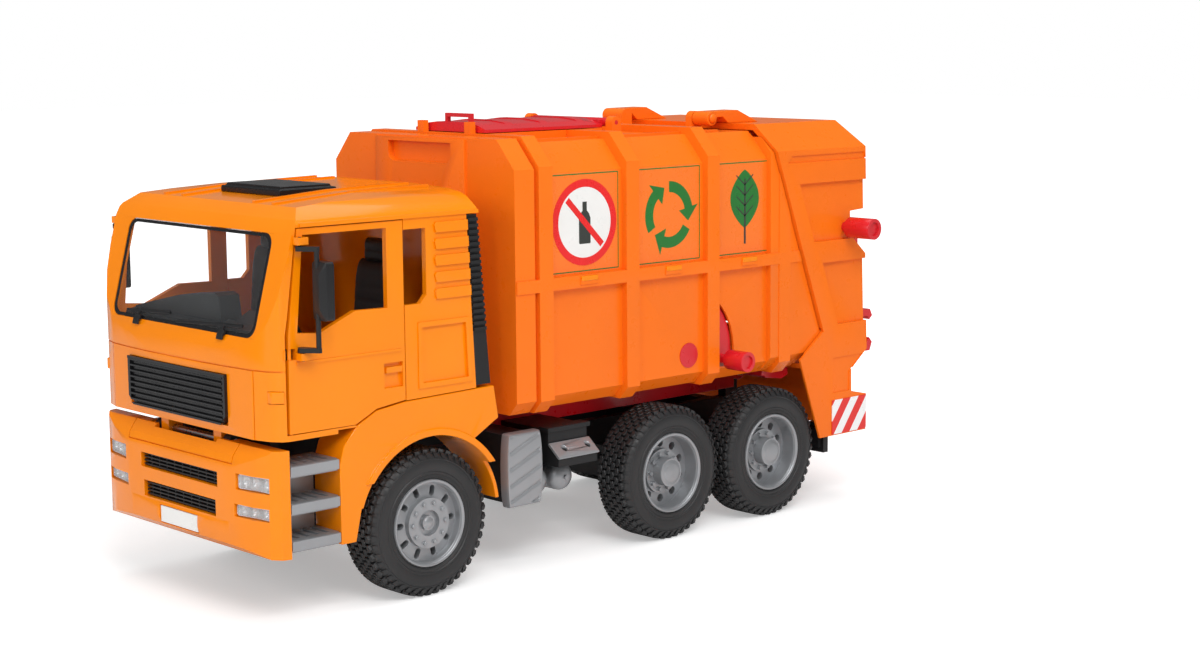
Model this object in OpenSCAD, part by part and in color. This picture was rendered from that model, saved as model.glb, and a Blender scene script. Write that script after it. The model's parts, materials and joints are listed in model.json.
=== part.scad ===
// Toy refuse truck on three axles: tilting cab, tipping container, tailgate with a bin lifter.
// +X points forward, +Y to the truck's left and +Z up. The origin is on the ground, under the
// middle of the truck. All sizes are in millimetres.

/* [Cab] */
// Width of the cab over its doors
cab_w = 154; // [150:1:156]
// Height of the cab's lower edge above the ground
cab_z = 88.6; // [88:0.2:89]
// Thickness of the plastic walls
wall = 3; // [2.5:0.1:3.2]
// Half width of the windscreen
screen_hw = 62.8; // [56:0.2:63]

/* [Container] */
// Width of the container over its ribs
box_w = 150.6; // [150:0.2:151]
// Depth of the panels behind the ribs
panel_in = 3.8; // [3:0.1:4.2]
// Height of the ribs' top above the ground
box_top = 221; // [219:0.5:221]
// X of the container's front wall
box_front = 68; // [66:0.5:70]

/* [Wheels] */
// Outer radius of a tyre
tyre_r = 36.5; // [35:0.1:36.6]
// Width of a tyre
tyre_w = 23; // [20:0.5:24]
// Radius of a rim where the tyre sits on it
rim_r = 21.7; // [20:0.1:23]
// Radius of an axle rod
axle_r = 3; // [2.5:0.1:3.5]
// X of the front axle
axle_1 = 124.8; // [123:0.1:126]
// X of the middle axle
axle_2 = -41.4; // [-43:0.1:-40]
// X of the rear axle
axle_3 = -120.9; // [-122:0.1:-120]

/* [Fits] */
// Radial clearance of a shaft in its bore
run = 0.05; // [0.03:0.01:0.1]
// Gap between two pieces that move past each other
gap = 0.5; // [0.4:0.1:0.7]

/* [Hidden] */
$fn = 48;

cab_hw = cab_w / 2;
box_hw = box_w / 2;
panel_hw = box_hw - panel_in;
panel_top = box_top - panel_in;
inner_hw = panel_hw - wall;
tyre_face = box_hw;
axle_z = tyre_r;

// Pivots, as [x, z]
cab_pivot = [207, 82];
tip_pivot = [-143, 75];
hatch_pivot = [-38, 224];
tail_pivot = [-105, 224];
lever_pivot = [-57.2, 98.6];
lift_pivot = [-182, 160];
door_pivot = [204.8, cab_hw - 1.5];
mirror_pivot = [200.5, cab_hw + 3.2];
mirror_arm = [196.4, 87.2];

// Y of the steering wheel and of the seats' middle
wheel_y = 43;
seat_y = 45;

// Windscreen plane: its foot, and how far it leans back
screen_foot = [215.5, 134.5];
screen_lean = 14.86;

// Rear face of the container, which leans back towards the ground
rear_top_x = -117;
rear_mid = [-121.3, 205.8];
rear_low = [-160.8, 101];
rib_w = 9.2;
rib_x = [43.4, -17, -77.5, -135];

// Levels of the chassis
rail_in = 16;
rail_out = 22;
rail_low = 46;
rail_top = 60;
rail_rear = -150;
rail_front = 203;
// Half width of the container's rest, and where the boxes beside the rails begin
rest_hw = 28;
side_in = 28.6;

// Top of the subframe, under the container's ribs
sub_top = 80.8;
rib_low = sub_top;

orange = "darkorange";
deep_orange = "orangered";
red = "crimson";
black = "dimgray";
silver = "silver";

// ---------- shared shapes ----------

module both_sides() {
    children();
    mirror([0, 1, 0]) children();
}

module side(name) {
    if (name == "left") children();
    else mirror([0, 1, 0]) children();
}

// A side outline, given as [x, z] points, drawn out from y0 to y1
module slab(points, y0, y1) {
    translate([0, y1, 0]) rotate([90, 0, 0]) linear_extrude(y1 - y0) polygon(points);
}

// A cross-section, given as [y, z] points, drawn out from x0 to x1
module section(points, x0, x1) {
    translate([x0, 0, 0]) rotate([90, 0, 90]) linear_extrude(x1 - x0) polygon(points);
}

// A block between two corners
module block(low, high) {
    translate(low) cube(high - low);
}

// A rod along Y through [x, z]
module rod_y(at, r, y0, y1) {
    translate([at[0], y1, at[1]]) rotate([90, 0, 0]) cylinder(h = y1 - y0, r = r);
}

// ---------- chassis ----------

module chassis_rails() {
    color(black) both_sides() difference() {
        union() {
            block([rail_rear, rail_in, rail_low], [rail_front, rail_out, rail_top]);
            // bracket down to the rear beam
            block([-166, rail_in, 36], [rail_rear + 6, rail_out, 48]);
            // ear of the tipping hinge
            rod_y(tip_pivot, 5, rail_in, rail_out);
            block([-148, rail_in, rail_top - 1], [-138, rail_out, tip_pivot[1]]);
        }
        rod_y(tip_pivot, 2.5, 0, 50);
    }
}

// Cross members between the rails, the front beam, and the rests of the cab and the container
module cross_members() {
    color(black) {
        for (x = [-140, -85, 0, 88]) {
            block([x, -rail_in, rail_low + 2], [x + 8, rail_in, rail_top - 2]);
        }
        block([100, -20, rail_top], [106, 20, 99.7]);
        block([36, -rest_hw, rail_top], [44, rest_hw, 65.7]);
        difference() {
            union() {
                block([rail_front, -40, rail_low], [213, 40, rail_top]);
                // ears of the cab hinge
                both_sides() {
                    rod_y(cab_pivot, 4, 27, 33);
                    block([cab_pivot[0] - 4, 27, rail_low], [cab_pivot[0] + 4, 33, cab_pivot[1]]);
                }
            }
            rod_y(cab_pivot, 2, -50, 50);
        }
    }
}

// Block and leaf springs over each axle
module axle_blocks() {
    color(black) for (x = [axle_1, axle_2, axle_3]) difference() {
        union() {
            block([x - 7, -30, 28], [x + 7, 30, rail_low]);
            both_sides() {
                block([x - 26, 31, 41], [x + 26, 36, 44]);
                block([x - 17, 31, 38], [x + 17, 36, 41]);
                block([x - 7, 29, 36], [x + 7, 36, 44]);
            }
        }
        rod_y([x, axle_z], axle_r + run, -50, 50);
    }
}

module pivot_pins() {
    color(silver) {
        rod_y(cab_pivot, 2, -33, 33);
        rod_y(tip_pivot, 2.5, -30, 30);
    }
}

// Plan of the nose, with rounded corners, grown forward by extra
module nose_plan(extra, z0, z1) {
    translate([0, 0, z0]) linear_extrude(z1 - z0) polygon([
        [60, -cab_hw], [206.5, -cab_hw], [209.8 + extra, -75.6], [213.2 + extra, -71],
        [216 + extra, -61], [217.6 + extra, -42], [218.4 + extra, -20], [218.6 + extra, 0],
        [218.4 + extra, 20], [217.6 + extra, 42], [216 + extra, 61], [213.2 + extra, 71],
        [209.8 + extra, 75.6], [206.5, cab_hw], [60, cab_hw]
    ]);
}

module front_bumper() {
    color(orange) difference() {
        intersection() {
            slab([[207, 33.5], [214.5, 33.5], [218.8, 37], [220, 41.5], [219.6, 46.4],
                  [218.8, 48], [218.8, 73.6], [217.4, 79], [213.4, 84.4], [207, 84.4]],
                 -cab_hw, cab_hw);
            nose_plan(1.4, 30, 90);
        }
        // hollow back, and room for the cab hinge
        block([200, -72, 37], [213, 72, 80.5]);
        block([200, -36, 60], [211.8, 36, 90]);
        // two grille slots, with a bar between them
        block([205, -34, 62.8], [225, 34, 70]);
        block([205, -32, 48.3], [225, 32, 56.3]);
        both_sides() {
            block([209.5, 49, 64], [225, 71, 71.5]);
            block([209.5, 47.5, 51], [225, 70.5, 57]);
        }
        // seat of the plate
        block([218.2, -17, 37.5], [225, 17, 46.5]);
        // parting line of the step flap
        both_sides() block([205, 45.6, 75.5], [225, 46.2, 85]);
        block([217.4, -46.2, 75.2], [225, 46.2, 75.8]);
        // room for the cab's hinge
        rod_y(cab_pivot, 7.6, -27.4, 27.4);
    }
}

module bumper_grille() {
    color(black) {
        for (slot = [[34, 62.8, 7.2], [32, 48.3, 8]]) {
            block([213, -slot[0], slot[1]], [214.5, slot[0], slot[1] + slot[2]]);
            for (i = [0 : 3]) {
                block([214.4, -slot[0], slot[1] + 0.6 + i * 1.8],
                      [217, slot[0], slot[1] + 1.5 + i * 1.8]);
            }
            for (y = [-28 : 7 : 28]) {
                block([214.4, y - 0.4, slot[1]], [216.4, y + 0.4, slot[1] + slot[2]]);
            }
        }
    }
}

module lamp(name) {
    side(name) color("gainsboro") intersection() {
        union() {
            block([209.5, 49.2, 64.2], [225, 70.8, 71.3]);
            block([209.5, 47.7, 51.2], [225, 70.3, 56.8]);
        }
        nose_plan(0.6, 40, 80);
    }
}

module licence_plate() {
    color("white") block([218.2, -16.5, 38], [219.2, 16.5, 46]);
}

// Three treads between the bumper and the fender
module steps(name) {
    side(name) color(silver) difference() {
        union() {
            for (z = [71, 53.4, 36]) {
                block([179.4, 55, z], [206.6, 75.5, z + 6]);
                block([179.4, 74, z + 1], [206.6, 77, z + 5.6]);
            }
            block([181, 55, 38], [205, 58, 74]);
        }
        // grip grooves of each tread
        for (z = [71, 53.4, 36]) {
            for (x = [183 : 5.5 : 203]) block([x, 59, z + 5], [x + 2.4, 73, z + 7]);
        }
    }
}

// Outline of a fender, grown outwards by more at its top
function fender_outline(more) = [
    [179, 35.5], [179, 74], [176.5, 82 + more], [169 - more / 2, 90.5 + more],
    [157 - more / 2, 96.6 + more], [140, 98.8 + more], [85, 100 + more], [82.3, 83.6],
    [axle_1, 60], [160, 51], [167, 50.8], [170.5, 35.5]
];

module fender(name) {
    side(name) color(orange) difference() {
        union() {
            slab(fender_outline(0), 56, cab_hw);
            // liner that runs down behind the tyre
            intersection() {
                rod_y([axle_1, axle_z], 45.8, 48, 73);
                block([60, 40, 42], [axle_1, 80, 90]);
            }
            // lip round the arch
            difference() {
                rod_y([axle_1, axle_z], 47, 66, cab_hw + 1.2);
                block([60, 50, -20], [200, 90, 62]);
            }
        }
        rod_y([axle_1, axle_z], 43.6, 40, 90);
        // hollow behind the outer skin
        difference() {
            slab([[174, 60], [168, 87.5], [140, 95.6], [90, 96.6], [87, 84], [axle_1, 60]],
                 50, cab_hw - wall);
            rod_y([axle_1, axle_z], 46.4, 40, 90);
        }
    }
}

module engine() {
    color(black) {
        block([132, -15.6, 50], [184, 15.6, 63]);
        block([128, -25, rail_top], [188, 25, 80]);
        block([134, -17, 80], [182, 17, 88]);
        // radiator on the rails
        block([193, -48, rail_top], [198, 48, 86]);
        for (i = [0 : 5]) block([136 + i * 8, -22, 79], [141 + i * 8, 22, 84]);
        translate([188, 0, 66]) rotate([0, 90, 0]) cylinder(h = 5, r = 5);
        translate([192, 0, 66]) rotate([0, 90, 0]) cylinder(h = 1.6, r = 13);
    }
}

module silencer_casing() {
    color(black) {
        block([52.4, side_in, 36], [69, 65, 71]);
        block([54, rail_out, 48], [66, side_in + 1, 58]);
    }
}

module silencer_cover() {
    color(silver) difference() {
        slab([[49, 34], [70, 34], [71.5, 38], [71.5, 68], [70, 72], [49, 72], [47.5, 68],
              [47.5, 38]], 65, 71);
        // pressed diagonal ribs
        for (z = [38, 49, 60]) {
            slab([[50.5, z], [68.5, z + 4.5], [68.5, z + 8.5], [50.5, z + 6.5]], 69.6, 72);
        }
    }
}

module fuel_tank() {
    color(silver) mirror([0, 1, 0]) {
        slab([[52.4, 38], [55, 34], [71, 34], [74, 38], [74, 67], [71, 71], [55, 71],
              [52.4, 67]], side_in, 71);
        translate([63, 60, 70]) cylinder(h = 4, r = 5);
        block([56, rail_out, 48], [68, side_in + 1, 58]);
    }
}

module tool_boxes() {
    color(black) both_sides() {
        section([[side_in, 51.2], [74, 51.2], [74, 55.5], [66, 62], [66, 70], [side_in, 70]],
                13, 40);
        block([18, rail_out, 52], [34, side_in + 1, 58]);
        block([11.8, 60, 68.6], [41.2, 67.4, 71]);
    }
}

module tread_plates() {
    color(silver) both_sides() difference() {
        section([[74, 55.5], [75.1, 55.7], [75.1, 56.6], [66.9, 63.2], [66, 62]], 12.5, 40.5);
        for (x = [17, 33]) translate([x, 70.6, 56]) cylinder(h = 8, r = 1.6);
    }
}

module air_tanks() {
    color(silver) both_sides() for (x = [44.4, 26.8]) {
        difference() {
            rod_y([x, 43], 7.4, 26, 64);
            rod_y([x, 43], 5.6, 62, 70);
        }
        rod_y([x, 43], 2, 58, 65.6);
        block([x - 2, rail_out, 46.5], [x + 2, 30, 50]);
    }
}

module rear_beam() {
    color(black) difference() {
        union() {
            block([-172, -70, 32], [-166, 70, 43]);
            both_sides() block([-172, 60, 29], [-168, 72, 46]);
        }
        both_sides() for (y = [44, 52]) translate([-180, y, 37.5]) rotate([0, 90, 0]) {
            cylinder(h = 9.4, r = 2.6);
        }
    }
}

// ---------- cab ----------

cab_side = [
    [216, cab_z], [218.6, 96], [218.4, 120], [217.2, 131], screen_foot, [202.5, 183.5],
    [199.5, 189], [193.5, 194.3], [150, 197.6], [97.4, 198.6], [93.7, 194], [93.7, 187.4],
    [101, 186.2], [96.4, 100.6], [96.4, cab_z]
];
cab_front = [
    [-cab_hw, 80], [cab_hw, 80], [cab_hw, 187.4], [75.4, 189.2], [66, 195.6], [58, 197.4],
    [0, 200], [-58, 197.4], [-66, 195.6], [-75.4, 189.2], [-cab_hw, 187.4]
];

module cab_solid() {
    intersection() {
        slab(cab_side, -cab_hw, cab_hw);
        section(cab_front, 80, 225);
        nose_plan(0, 80, 205);
    }
}

module cab_room() {
    intersection() {
        slab([[213.5, 103.2], [213.5, 131], [212.4, 134.5], [199.4, 183], [196, 189],
              [192, 191.2], [150, 194.5], [103.5, 195.4], [104.2, 186], [99.6, 103.2]],
             -cab_hw + wall, cab_hw - wall);
        section([[-74, 100], [74, 100], [74, 186], [64, 192.6], [0, 196.8], [-64, 192.6],
                 [-74, 186]], 90, 225);
        nose_plan(-wall, 80, 205);
    }
}

// Door outline, pulled in by less on every side
function door_outline(less) = [
    [206.4 - less, 91.8 + less], [206 - less, 137], [199.8 - less, 185.6 - less],
    [139.9 + less, 185.6 - less], [139.9 + less, 99.7 + less], [157, 97.6 + less],
    [169.5, 91.6 + less]
];
function window_outline(grow) = [
    [201 + grow, 138 - grow], [188.7, 136.8 - grow], [168.4, 145.2 - grow],
    [149.6 - grow, 144.8 - grow], [149.6 - grow, 182.6 + grow], [197 + grow, 182.6 + grow]
];
quarter_window = [[126.2, 181], [143.6, 181], [143.6, 145], [130, 145], [126.2, 149]];

module cab_shell() {
    color(orange) difference() {
        union() {
            difference() {
                cab_solid();
                cab_room();
                // room under the floor
                intersection() {
                    block([100, -74, 80], [213, 74, 100]);
                    nose_plan(-wall, 79, 101);
                }
            }
            both_sides() {
                // lugs of the cab hinge
                rod_y(cab_pivot, 4, 20, 26.6);
                block([203, 20, cab_pivot[1]], [211, 26.6, 101]);
                // louvres behind the quarter window
                for (i = [0 : 4]) {
                    slab([[100.8 - i * 0.4, 178.4 - i * 8], [120.5, 178.4 - i * 8],
                          [121.4, 182 - i * 8], [120.5, 183.4 - i * 8],
                          [101 - i * 0.4, 183.4 - i * 8]], cab_hw - 1.5, cab_hw + 1.1);
                }
                // rain gutter and roof ridges
                block([94, cab_hw - 2, 186.2], [198.5, cab_hw + 0.9, 188]);
                for (y = [30, 46]) slab([[101, 190], [101, 199.8 - y / 60], [150, 198.9 - y / 60],
                                        [192, 195.4], [192, 190]], y, y + 2.2);
                // hinge ear of the door
                block([door_pivot[0] - 2.2, cab_hw - wall, 126.4],
                      [208.6, cab_hw - 0.2, 130.6]);
                // frame round the rear quarter panel
                slab([[99, 104], [132, 104], [132, 136], [100.8, 136]], cab_hw - 1,
                     cab_hw + 0.7);
            }
        }
        both_sides() {
            // fender below the side wall
            difference() {
                slab(fender_outline(gap), 50, cab_hw + 5);
                block([184, 0, 0], [220, 90, 120]);
            }
            block([60, 60, 80], [179.6, cab_hw + 5, 90.4]);
            // doorway, with a gap round the door
            slab([[207.6, 91.3], [207.6, 137.5], [200.6, 186.1], [139.4, 186.1], [139.4, 99.2],
                  [140, 90], [168, 90], [169.5, 91.3]], cab_hw - wall - 5, cab_hw + 0.6);
            slab(quarter_window, cab_hw - 6, cab_hw + 2);
            translate([door_pivot[0], door_pivot[1], 80]) cylinder(h = 60, r = 1 + run);
            // inner field of the rear quarter panel
            slab([[101.5, 106.5], [129.5, 106.5], [129.5, 133.5], [102.8, 133.5]],
                 cab_hw - 0.8, cab_hw + 2);
            // lamp seat at the front corner
            block([208.5, 70, 106], [214, cab_hw + 1, 112]);
        }
        // windscreen opening
        translate([screen_foot[0], 0, screen_foot[1]]) rotate([0, -screen_lean, 0]) {
            block([-8, -screen_hw - 0.1, 0.8], [6, screen_hw + 0.1, 50]);
        }
        // seats of the grille, the roof hatch and the hinge pin
        block([215.4, -43.2, 92.8], [225, 43.2, 117.2]);
        block([139.5, -26, 195.8], [174, 26, 205]);
        rod_y(cab_pivot, 2 + run, -40, 40);
        // parting lines above and beside the grille panel
        difference() {
            block([200, -78, 120.6], [225, 78, 121.3]);
            nose_plan(-0.8, 119, 123);
        }
        both_sides() block([214.9, 61.8, 80], [225, 62.4, 121]);
    }
}

module cab_grille() {
    color(black) difference() {
        union() {
            block([215.4, -43, 93], [217.8, 43, 117]);
            for (i = [0 : 7]) {
                slab([[217.4, 94.6 + i * 2.8], [219.3, 95.4 + i * 2.8],
                      [219.3, 96.2 + i * 2.8], [217.4, 96.8 + i * 2.8]], -41, 41);
            }
            both_sides() block([217, 41, 93], [219, 43, 117]);
            block([217, -43, 115.6], [219.2, 43, 117]);
            block([217, -43, 93], [219.2, 43, 94]);
        }
        for (s = [-1, 1]) translate([215, s * 43, 93]) rotate([45, 0, 0]) {
            block([-1, -3, -3], [8, 3, 3]);
        }
    }
}

module windscreen() {
    color("lightblue", 0.4)
    translate([screen_foot[0], 0, screen_foot[1]]) rotate([0, -screen_lean, 0]) {
        block([-2.4, -screen_hw, 0.9], [-0.6, screen_hw, 49.9]);
    }
}

module dashboard() {
    color(black) {
        slab([[211.8, 104], [211.8, 130], [208.5, 137], [200, 139], [192, 137], [188, 130],
              [193, 121], [193, 103.2], [211.8, 103.2]], -60, 60);
        // raised middle
        section([[-58, 128], [-58, 139], [-40, 143], [-16, 148], [14, 151.4], [18, 150], [20, 139],
                 [20, 128]], 193, 204.5);
        // hood over the driver's dials
        slab([[203, 138], [193.4, 143.4], [191.6, 142.4], [192, 134], [200, 132]], 27, 57);
        // steering column
        translate([193, wheel_y, 131]) rotate([0, -62, 0]) cylinder(h = 8, r = 2.4);
    }
}

module steering_wheel() {
    color(black) translate([185, wheel_y, 135.3]) rotate([0, -62, 0]) {
        rotate_extrude() translate([11.5, 0]) circle(r = 1.25, $fn = 24);
        for (a = [90, 210, 330]) rotate([0, 0, a]) block([0, -1.3, -0.9], [11.2, 1.3, 0.9]);
        cylinder(h = 2, r = 3.2, center = true);
    }
}

module seat(name) {
    side(name) color(black) translate([6, seat_y, 0]) {
        block([132, -13, 103.2], [164, 13, 110]);
        slab([[130, 110], [172, 110], [174, 113], [172.6, 118.5], [134, 116], [130, 113]], -17, 17);
        slab([[127, 114], [137, 116], [132.5, 161], [129, 164], [124.5, 163], [122, 159]], -16, 16);
        slab([[125.5, 162.5], [131, 162.5], [130.6, 172], [127.5, 174.6], [123.8, 173]], -9, 9);
        for (y = [-17, 13.5]) {
            slab([[133, 117.5], [168, 120], [168.5, 123], [134, 120.5]], y, y + 3.5);
        }
    }
}

module sun_hatch() {
    color(black) {
        block([140, -25.5, 195.8], [173.5, 25.5, 199]);
        block([142, -23.5, 198], [171.5, 23.5, 200.4]);
    }
}

module side_strips() {
    color(black) both_sides() {
        slab([[100.9, 185.6], [94.2, 185.6], [86.8, 101.4], [96.4, 101.4]], 64, cab_hw - 0.6);
        for (i = [0 : 18]) {
            slab([[94.3 - i * 0.26, 184 - i * 3], [100.4 - i * 0.162, 184 - i * 3],
                  [100.3 - i * 0.162, 182.4 - i * 3], [94.2 - i * 0.26, 182.4 - i * 3]],
                 70, cab_hw + 0.7);
        }
    }
}

module wipers() {
    color(black)
    translate([screen_foot[0], 0, screen_foot[1]]) rotate([0, -screen_lean, 0]) {
        for (w = [[-37, -12, 27], [37.5, -41, 15]]) translate([0, w[0], 0]) {
            block([0.1, -2.5, 0.4], [1.4, 2.5, 2.6]);
            block([1, -2.5, -2], [1.8, 2.5, 1.2]);
            block([0.1, -0.8, 1], [1, 0.8, 5.4]);
            translate([-0.6, 0, 5]) rotate([3, 0, 0]) block([0, w[1], -0.7], [1.2, w[2], 0.7]);
        }
    }
}

module door(name) {
    side(name) color(orange) difference() {
        union() {
            slab(door_outline(0), cab_hw - wall, cab_hw);
            // hinge pin, from the sill to above the ear
            translate([door_pivot[0], door_pivot[1], cab_z + 0.2]) cylinder(h = 45, r = 1);
            // raised line along the door
            block([142, cab_hw - 1, 123.4], [202, cab_hw + 0.5, 124.8]);
            // sockets of the mirror
            for (z = [125.8, 178.6]) {
                block([197, cab_hw - 2, z], [199.8, mirror_pivot[1] + 1.8, z + 3.4]);
                block([197, cab_hw + gap, z], [202.4, mirror_pivot[1] + 1.8, z + 3.4]);
            }
        }
        slab(window_outline(0), cab_hw - 6, cab_hw + 2);
        // notch round the hinge ear of the cab, crossed by the pin
        difference() {
            block([door_pivot[0] - 2.7, cab_hw - 5, 125.9], [210, cab_hw + 0.3, 131.1]);
            translate([door_pivot[0], door_pivot[1], 120]) cylinder(h = 20, r = 1);
        }
        // grip recess, with the grip standing in it
        difference() {
            block([141.2, cab_hw - 2, 106.5], [152.2, cab_hw + 1, 118.5]);
            block([140, cab_hw - 3, 113.6], [150.6, cab_hw - 0.4, 116.4]);
        }
        for (z = [125.6, 178.4]) translate([mirror_pivot[0], mirror_pivot[1], z]) {
            cylinder(h = 4, r = 0.8 + run);
        }
    }
}

module mirror_arm_bar(z) {
    hull() {
        translate([mirror_pivot[0], mirror_pivot[1], z]) cylinder(h = 2.2, r = 2.2);
        translate([mirror_arm[0], mirror_arm[1], z]) cylinder(h = 2.2, r = 1.4);
    }
}

module mirror_node(name) {
    side(name) color(black) {
        for (z = [125.4, 176]) translate([mirror_pivot[0], mirror_pivot[1], z]) {
            cylinder(h = 6.2, r = 0.8);
        }
        mirror_arm_bar(129.6);
        mirror_arm_bar(175.8);
        translate([mirror_arm[0], mirror_arm[1], 129.6]) cylinder(h = 48.4, r = 1.2);
        // housing, with the glass set in its rear face
        difference() {
            hull() {
                for (y = [84.8, 92.4]) for (z = [146, 169.6]) {
                    translate([194, y, z]) rotate([0, 90, 0]) {
                        cylinder(h = 4.2, r = 1.6, center = true, $fn = 24);
                    }
                }
                translate([198, 88.6, 157.8]) cube([0.6, 5, 16], center = true);
            }
            block([190, 84.2, 145.6], [192.6, 93, 170]);
        }
    }
}

// ---------- container ----------

module box_section(hw, top, low, x0, x1) {
    slope = 15;
    section([[-hw + 6, low], [hw - 6, low], [hw, low + 6.5], [hw, top - slope],
             [hw - 13.5, top], [-hw + 13.5, top], [-hw, top - slope], [-hw, low + 6.5]], x0, x1);
}

module container_side(y0, y1) {
    slab([[box_front + 2, 70], [box_front + 2, 230], [rear_top_x, 230], [rear_top_x, box_top],
          rear_mid, rear_low, [-146, 86.2], [-146, 70]], y0, y1);
}

module container_shell() {
    color(deep_orange) difference() {
        union() {
            intersection() {
                union() {
                    box_section(panel_hw, panel_top, 82, -165, box_front - 1);
                    box_section(box_hw - 0.8, box_top - 1, 81.4, box_front - 13, box_front);
                    for (x = rib_x) box_section(box_hw, box_top, rib_low, x, x + rib_w);
                    // belt half way up
                    block([-165, -box_hw, 143], [box_front - 0.4, box_hw, 149.5]);
                    box_section(box_hw - 0.5, box_top - 0.5, 84, -165, -119);
                }
                container_side(-90, 90);
            }
            // collar round the roof hatch, and its front guides and rear ears
            block([-34, -29, panel_top - 1], [48, 29, box_top]);
            both_sides() {
                block([49, 17, box_top - 1], [52.4, 22, 226.9]);
                rod_y(hatch_pivot, 3.4, 31, 36);
                block([-41.4, 31, panel_top - 1], [-34.6, 36, hatch_pivot[1]]);
                // ears of the tailgate hinge
                rod_y(tail_pivot, 4, 26, 30.6);
                rod_y(tail_pivot, 1.6, 28, 43.6);
                block([-109, 26, panel_top - 1], [-101, 30.6, tail_pivot[1]]);
                // clips on the belt
                for (x = [19, -42, -101]) block([x - 6, box_hw - 1, 144.6],
                                                [x + 6, box_hw + 0.6, 147.6]);
            }
            // raised panel in the middle of the front wall
            block([box_front - 1, -37, 90], [box_front + 1.2, 37, 219]);
            // rail along the roof
            both_sides() block([-98, 52, panel_top - 1], [50, 54, panel_top + 1.4]);
        }
        box_section(inner_hw, panel_top - wall, 85, -175, box_front - 4);
        block([-30, -25, 200], [44, 25, 240]);
        // pocket with round lower corners in the front panel
        hull() for (y = [-21, 21]) {
            translate([box_front - 2.4, y, 211.4]) rotate([0, 90, 0]) cylinder(h = 6, r = 5);
            block([box_front - 2.4, y - 5, 212], [box_front + 3.6, y + 5, 217]);
        }
        // the belt and rear frame stay outside the load space
        both_sides() rod_y(hatch_pivot, 1.2 + run, 25, 40);
        // window of the lever's hub, and the slot of its knob
        rod_y(lever_pivot, 6.75 + run, inner_hw - 2, box_hw + 2);
        intersection() {
            rod_y(lever_pivot, 35.5, inner_hw - 2, panel_hw + 0.1);
            block([-100, 0, 89.4], [-77.6, 90, 126]);
        }
        // pocket that lets the lever's plate lie close behind the skin
        intersection() {
            rod_y(lever_pivot, 38, inner_hw - 2, panel_hw - 1.4);
            block([-100, 0, 90.2], [-10, 90, 140]);
        }
        rod_y(lever_pivot, 3 + run, -box_hw - 2, -inner_hw + 2);
    }
}

module subframe() {
    color(red) difference() {
        union() {
            both_sides() {
                block([tip_pivot[0] + 4, 23, 66], [60, 28, sub_top]);
                block([tip_pivot[0] - 4, 23, 71], [tip_pivot[0] + 12, 28, sub_top]);
                rod_y(tip_pivot, 5, 23, 28);
                // outriggers above the rear wheels
                slab([[-148, sub_top], [-148, 76.6], [-143, 74.6], [-129, 76.5], [-126, sub_top]],
                     30, 62);
                block([-148, 27, 78], [-126, 62, sub_top]);
            }
            for (x = [-100, -40, 14, 50]) block([x, -24, 74], [x + 8, 24, sub_top]);
            block([-100, -4, 74], [58, 4, sub_top]);
        }
        rod_y(tip_pivot, 2.5 + run, -60, 60);
    }
}

module hatch_lid() {
    color(red) difference() {
        union() {
            section([[-29, 221.4], [29, 221.4], [29, 223], [22, 225.2], [10.8, 226.4],
                     [-10.8, 226.4], [-22, 225.2], [-29, 223]], -34, 48);
            // ribs pressed into the lid
            for (x = [-26, 0, 24]) {
                section([[-27, 223], [27, 223], [21, 225.9], [10.8, 227], [-10.8, 227],
                         [-21, 225.9]], x, x + 5);
            }
            rod_y(hatch_pivot, 2.4, -30.6, 30.6);
            block([hatch_pivot[0], -28, 222.4], [-33, 28, 225.4]);
            // handle
            both_sides() block([40.4, 8.6, 226], [42.8, 10.6, 230.7]);
            block([40.4, -10.6, 228.7], [42.8, 10.6, 230.7]);
        }
        section([[-26.5, 221], [26.5, 221], [26.5, 222.4], [8, 224.6], [-8, 224.6],
                 [-26.5, 222.4]], -30, 45.5);
    }
    color(red) both_sides() rod_y(hatch_pivot, 1.2, 30, 36);
}

// Lever plate behind the container's wall, with its hub in the round window
module press_lever() {
    arm = 28;
    rest = -10;
    knob = lever_pivot + arm * [-cos(rest), sin(rest)];
    color(red) {
        rod_y(lever_pivot, 6.75, inner_hw - 3.2, panel_hw + 0.4);
        intersection() {
            rod_y(lever_pivot, 34.9, inner_hw - 0.8, panel_hw - 2);
            slab([for (p = [[5, -4], [5, 6], [-24, 50], [-60, 50], [-60, -7.4], [-8, -7.4]])
                  lever_pivot + p], 0, 90);
        }
        rod_y(knob, 2.5, inner_hw - 2, 79);
        difference() {
            rod_y(knob, 5.5, 76.2, 90);
            rod_y(knob, 3.6, 88.8, 92);
        }
    }
}

// Cross shaft and the plate that packs the load
module press_plate() {
    color(red) {
        rod_y(lever_pivot, 3, -panel_hw, inner_hw - 3.2);
        translate([lever_pivot[0], 0, lever_pivot[1]]) rotate([0, -28, 0]) {
            block([-1.5, -61, 0], [1.5, 61, 62]);
            for (y = [-58 : 29 : 58]) block([-5, y - 1.2, 0], [0, y + 1.2, 54]);
        }
    }
}

// ---------- tailgate ----------

tail_outline = [
    [-117.6, box_top], [-186.3, box_top], [-197, 206], [-198.2, 169.7], [-186.6, 169],
    [-187, 153.3], [-197.8, 143.8], [-199.9, 87.5], [-186.2, 76.9], [-186.4, 63.7],
    [-199.7, 60.8], [-199.7, 39.5], [-159, 39.5], [-141.6, 86.9], [-161.6, 101.4],
    [-121.9, 205.8]
];
tail_hw = 77.2;
// Half width of its skin between the flanges
skin_hw = 74.8;

module tail_section() {
    section([[-tail_hw, 30], [tail_hw, 30], [tail_hw, 206], [63.2, box_top], [63.2, 230],
             [-63.2, 230], [-63.2, box_top], [-tail_hw, 206]], -210, -90);
}

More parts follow.
